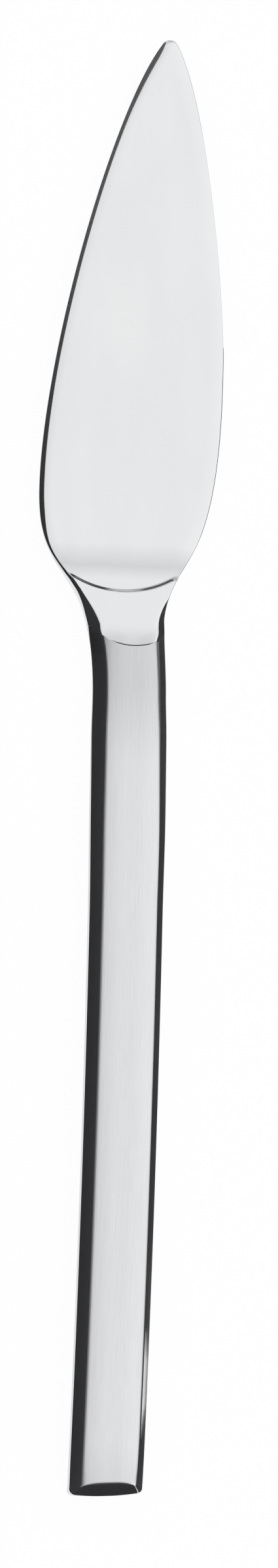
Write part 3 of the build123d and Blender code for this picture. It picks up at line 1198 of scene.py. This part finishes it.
FLOOR_REACH = 12.0
PAPER_GLOW = 0.96
floor_corners = [(x * FLOOR_REACH, y * FLOOR_REACH, 0) for x, y in ((-1, -1), (1, -1), (1, 1), (-1, 1))]
floor = flat_sheet("floor", floor_corners, [(0, 1, 2, 3)])
paper, tree, shader = new_finish("white_paper")
shader.inputs["Base Color"].default_value = (0.97, 0.97, 0.97, 1)
shader.inputs["Roughness"].default_value = 0.9
shader.inputs["Specular IOR Level"].default_value = 0.0
ray = node(tree, "ShaderNodeLightPath").outputs
seen = arithmetic(tree, "MAXIMUM", ray["Is Camera Ray"], ray["Is Glossy Ray"])
seen = arithmetic(tree, "MAXIMUM", seen, ray["Is Transmission Ray"])
white = node(tree, "ShaderNodeEmission")
white.inputs["Strength"].default_value = 1.0
lift = node(tree, "ShaderNodeMixShader")
tree.links.new(arithmetic(tree, "MULTIPLY", seen, PAPER_GLOW), lift.inputs["Fac"])
tree.links.new(shader.outputs["BSDF"], lift.inputs[1])
tree.links.new(white.outputs["Emission"], lift.inputs[2])
tree.links.new(lift.outputs["Shader"], tree.nodes["Material Output"].inputs["Surface"])
floor.data.materials.append(paper)
print("floor, m:", 2 * FLOOR_REACH)

# %% [markdown]
# ## Black cards
# Polished steel shows what stands round it. As in a studio, black cards stand round the knife, so that the bevels
# turn dark and the shape can be read: far, low cards ahead darken the step, and a low card at the right darkens the
# back. A slot in it gives the light streak near the butt. The bevels could be painted dark, but then they would
# stay dark from every side. Only reflections see the cards: they hide nothing and throw no shade.


# %% Card ahead
def black_finish(name):
    """Dull black, with its tree and shader."""
    finish, tree, shader = new_finish(name)
    shader.inputs["Base Color"].default_value = (0.065, 0.065, 0.068, 1)
    shader.inputs["Roughness"].default_value = 0.9
    shader.inputs["Specular IOR Level"].default_value = 0.0
    return finish, tree, shader


def card(name, finish, *points):
    """An upright card through points of (x, y, lower edge, upper edge), in mm, that only reflections see."""
    x, y, low, high = np.array(points, float).T
    corners = np.vstack([np.stack([x, y, low], axis=1), np.stack([x, y, high], axis=1)]) * MM
    numbers = np.arange(len(corners)).reshape(2, -1)
    sheet = flat_sheet(name, corners.tolist(), grid_faces(numbers).tolist())
    sheet.data.materials.append(finish)
    for kind in ("camera", "diffuse", "transmission", "volume_scatter", "shadow"):
        setattr(sheet, "visible_" + kind, False)
    return sheet


AHEAD = [(-110, 240, 30), (5, 268, 28), (20, 268, 12), (60, 262, 12), (75, 255, 44), (165, 185, 44)]
card_black = black_finish("card_black")[0]
card("card_ahead", card_black, *[(x, y, 0, high) for x, y, high in AHEAD])
print("card ahead, points:", len(AHEAD))

# %% Cards at the right
RIGHT_CARD_X = 15
RIGHT_TOP = 6
BUTT_TOP = 9
SLOT = [(-48, 1.6, 1.6), (-43, 1.0, 1.9), (-37, 1.0, 1.9), (-32, 1.6, 1.6)]


def right_card(name, *rows):
    """A card along the right of the knife, through rows of (y, lower edge, upper edge)."""
    return card(name, card_black, *[(RIGHT_CARD_X, *row) for row in rows])


right_card("card_right", (-32, 0, RIGHT_TOP), (62, 0, RIGHT_TOP), (74, 0, 4.5), (100, 0, 4.0), (106, 0, 3.4))
right_card("card_right_butt", (-75, 0, BUTT_TOP), (-59, 0, BUTT_TOP), (-56, 0, RIGHT_TOP), (-48, 0, RIGHT_TOP))
right_card("card_under_slot", *[(y, 0, low) for y, low, _ in SLOT])
right_card("card_over_slot", *[(y, high, RIGHT_TOP) for y, _, high in SLOT])
print("slot in the card, mm:", SLOT[0][0], "to", SLOT[-1][0])

# %% [markdown]
# ## The card along the knife
# On the cutting side one more card stands close to the knife and follows its outline round the butt, so that the
# dark strip on the bevel keeps an even width. It is tall by the handle and low by the blade. Beside the neck and
# the step it has a gate at its foot, through which the upright wall sees the white paper.

# %% Finish of the card along the knife
HANDLE_CARD = 17.1
CARD_SOLID = 8.2
CARD_PALING = (83.0, 125.0)
CARD_DEEP = (0.055, 0.055, 0.058)
CARD_PALE = (0.15, 0.15, 0.155)

card_fading, tree, shader = black_finish("card_fading")
_, forward, upward = split(tree, on_piece(tree))
fading = spanned(tree, upward, CARD_SOLID * MM, HANDLE_CARD * MM, 1.0, 0.0)
to_tip = spanned(tree, forward, CARD_PALING[0] * MM, CARD_PALING[1] * MM, 0.0, 1.0)
tree.links.new(fading, shader.inputs["Alpha"])
tree.links.new(tint(tree, to_tip, CARD_DEEP, CARD_PALE), shader.inputs["Base Color"])
print("card fades out above, mm:", CARD_SOLID)

# %% Card along the knife
HANDLE_GAP = 3.5
BLADE_GAP = 0.9
BLADE_CARD = 5.6
TIP_CARD = 4.4
NECK_GATE = 3.0
STEP_GATE = 2.4
BLADE_LINE = (0.5, TIP_Y - 0.03)


def butt_line():
    """The arc of the butt in plan, from right to left, turned by its skew."""
    sideways = np.linspace(HALF_WIDTH, -HALF_WIDTH, 12)
    forward = BUTT_RADIUS - np.sqrt(BUTT_RADIUS**2 - sideways**2)
    x = sideways * BUTT_COS - forward * BUTT_SIN - BUTT_OFFSET
    return np.stack([x, sideways * BUTT_SIN + forward * BUTT_COS - GRIP_LENGTH], axis=1)


def left_line():
    """The left side of the knife in plan, from the butt to the tip."""
    run = np.linspace(-GRIP_LENGTH, 0, 40)
    grip = np.stack(bowed(np.full(len(run), -HALF_WIDTH), run), axis=1)
    y = np.linspace(*BLADE_LINE, 90)
    return np.vstack([grip, np.stack([edge_x(LEFT, y), y], axis=1)])


def beside(line):
    """A line in plan moved out along its normals, to the left of its direction, by less on the blade."""
    way = np.gradient(line, axis=0)
    way = way / np.linalg.norm(way, axis=1, keepdims=True)
    gap = stages(line[:, 1:], HANDLE_GAP, (BLADE_GAP, 0.0, COLLAR_LENGTH))
    return line + gap * np.stack([-way[:, 1], way[:, 0]], axis=1)


card_line = np.vstack([beside(butt_line()), beside(left_line())])
card_y = card_line[:, 1]
low_by_blade = (BLADE_CARD, COLLAR_LENGTH + 4.0, STEP_Y + 0.3)
lower_at_tip = (TIP_CARD, TIP_Y - 0.6, TIP_Y + 0.6)
card_top = stages(card_y, HANDLE_CARD, low_by_blade, lower_at_tip)
card_foot = stages(card_y, NECK_GATE, (STEP_GATE, STEP_Y - 1.0, STEP_Y + 0.5))
card_foot = card_foot * beside_step(card_y, COLLAR_LENGTH + 1.0, STEP_Y - 2.5)
card("card_along_knife", card_fading, *np.column_stack([card_line + SHIFT[:2], card_foot, card_top]))
print("card along the knife, points:", len(card_line))

# %% [markdown]
# ## The sky
# A studio tent is nearly even, but not quite: it is a little brighter to the right, darker far ahead, and it has a
# soft grey band low down. The broad faces show these slow changes. Lamps would leave hot spots in the steel, so the
# light is the world alone, with its level worked out from the direction.

# %% Sky
SKY_TILT = 0.25
AHEAD_SPAN = (0.5, 0.78)
AHEAD_SHADE = (-0.03, -0.26)
TILT_RISE = (0.1, 0.45)
LOW_BAND_RISE = (0.03, 0.13)
LOW_BAND_FALL = (0.33, 0.6)
LOW_BAND_SHADE = 0.3

world = bpy.data.worlds.new("studio_sky")
bpy.context.scene.world = world
world.use_nodes = True
tree = world.node_tree
sideways, forward, upward = split(tree, node(tree, "ShaderNodeTexCoord").outputs["Generated"])
slant = arithmetic(tree, "MULTIPLY", sideways, SKY_TILT)
slant = arithmetic(tree, "ADD", slant, spanned(tree, forward, *AHEAD_SPAN, *AHEAD_SHADE))
slant = arithmetic(tree, "MULTIPLY", slant, spanned(tree, upward, *TILT_RISE, 0.0, 1.0))
low_band = spanned(tree, upward, *LOW_BAND_RISE, 0.0, LOW_BAND_SHADE)
low_band = arithmetic(tree, "MULTIPLY", low_band, spanned(tree, upward, *LOW_BAND_FALL, 1.0, 0.0))
level = arithmetic(tree, "SUBTRACT", arithmetic(tree, "ADD", slant, 1.0), low_band)
shade = node(tree, "ShaderNodeCombineColor")
for channel in ("Red", "Green", "Blue"):
    tree.links.new(level, shade.inputs[channel])
tree.links.new(shade.outputs["Color"], tree.nodes["Background"].inputs["Color"])
tree.nodes["Background"].inputs["Strength"].default_value = 1.0
bpy.context.scene.view_settings.view_transform = "Standard"
print("sky:", world.name)

# %% [markdown]
# ## Camera
# The photograph was taken with a long lens from almost straight above, leaning a little to the cutting side and
# towards the butt. So both the upper face and the outer left side show. The camera could be placed by eye; two
# leans, a roll and a distance are easier to set again.

# %% Camera
LEAN_LEFT = math.radians(14.0)
LEAN_BACK = math.radians(6.0)
ROLL = math.radians(0.76)
LOOK_AT = Vector((0.00213, 0.04364, 0.0025))
DISTANCE = 1.8
PICTURE_HEIGHT = 0.2195
SENSOR = 36.0

toward = Vector(
    (-math.sin(LEAN_LEFT) * math.cos(LEAN_BACK), -math.sin(LEAN_BACK), math.cos(LEAN_LEFT) * math.cos(LEAN_BACK))
)
level_right = Vector((math.cos(LEAN_LEFT), 0, math.sin(LEAN_LEFT)))
level_up = toward.cross(level_right)
right = level_right * math.cos(ROLL) + level_up * math.sin(ROLL)
up = level_up * math.cos(ROLL) - level_right * math.sin(ROLL)
eye = LOOK_AT + toward * DISTANCE
camera_data = bpy.data.cameras.new("camera")
camera_data.sensor_width = SENSOR
camera_data.lens = SENSOR * DISTANCE / PICTURE_HEIGHT
camera = bpy.data.objects.new("camera", camera_data)
bpy.context.collection.objects.link(camera)
camera.matrix_world = Matrix(
    (
        (right.x, up.x, toward.x, eye.x),
        (right.y, up.y, toward.y, eye.y),
        (right.z, up.z, toward.z, eye.z),
        (0, 0, 0, 1),
    )
)
bpy.context.scene.camera = camera
print("lens, mm:", round(camera_data.lens, 1))
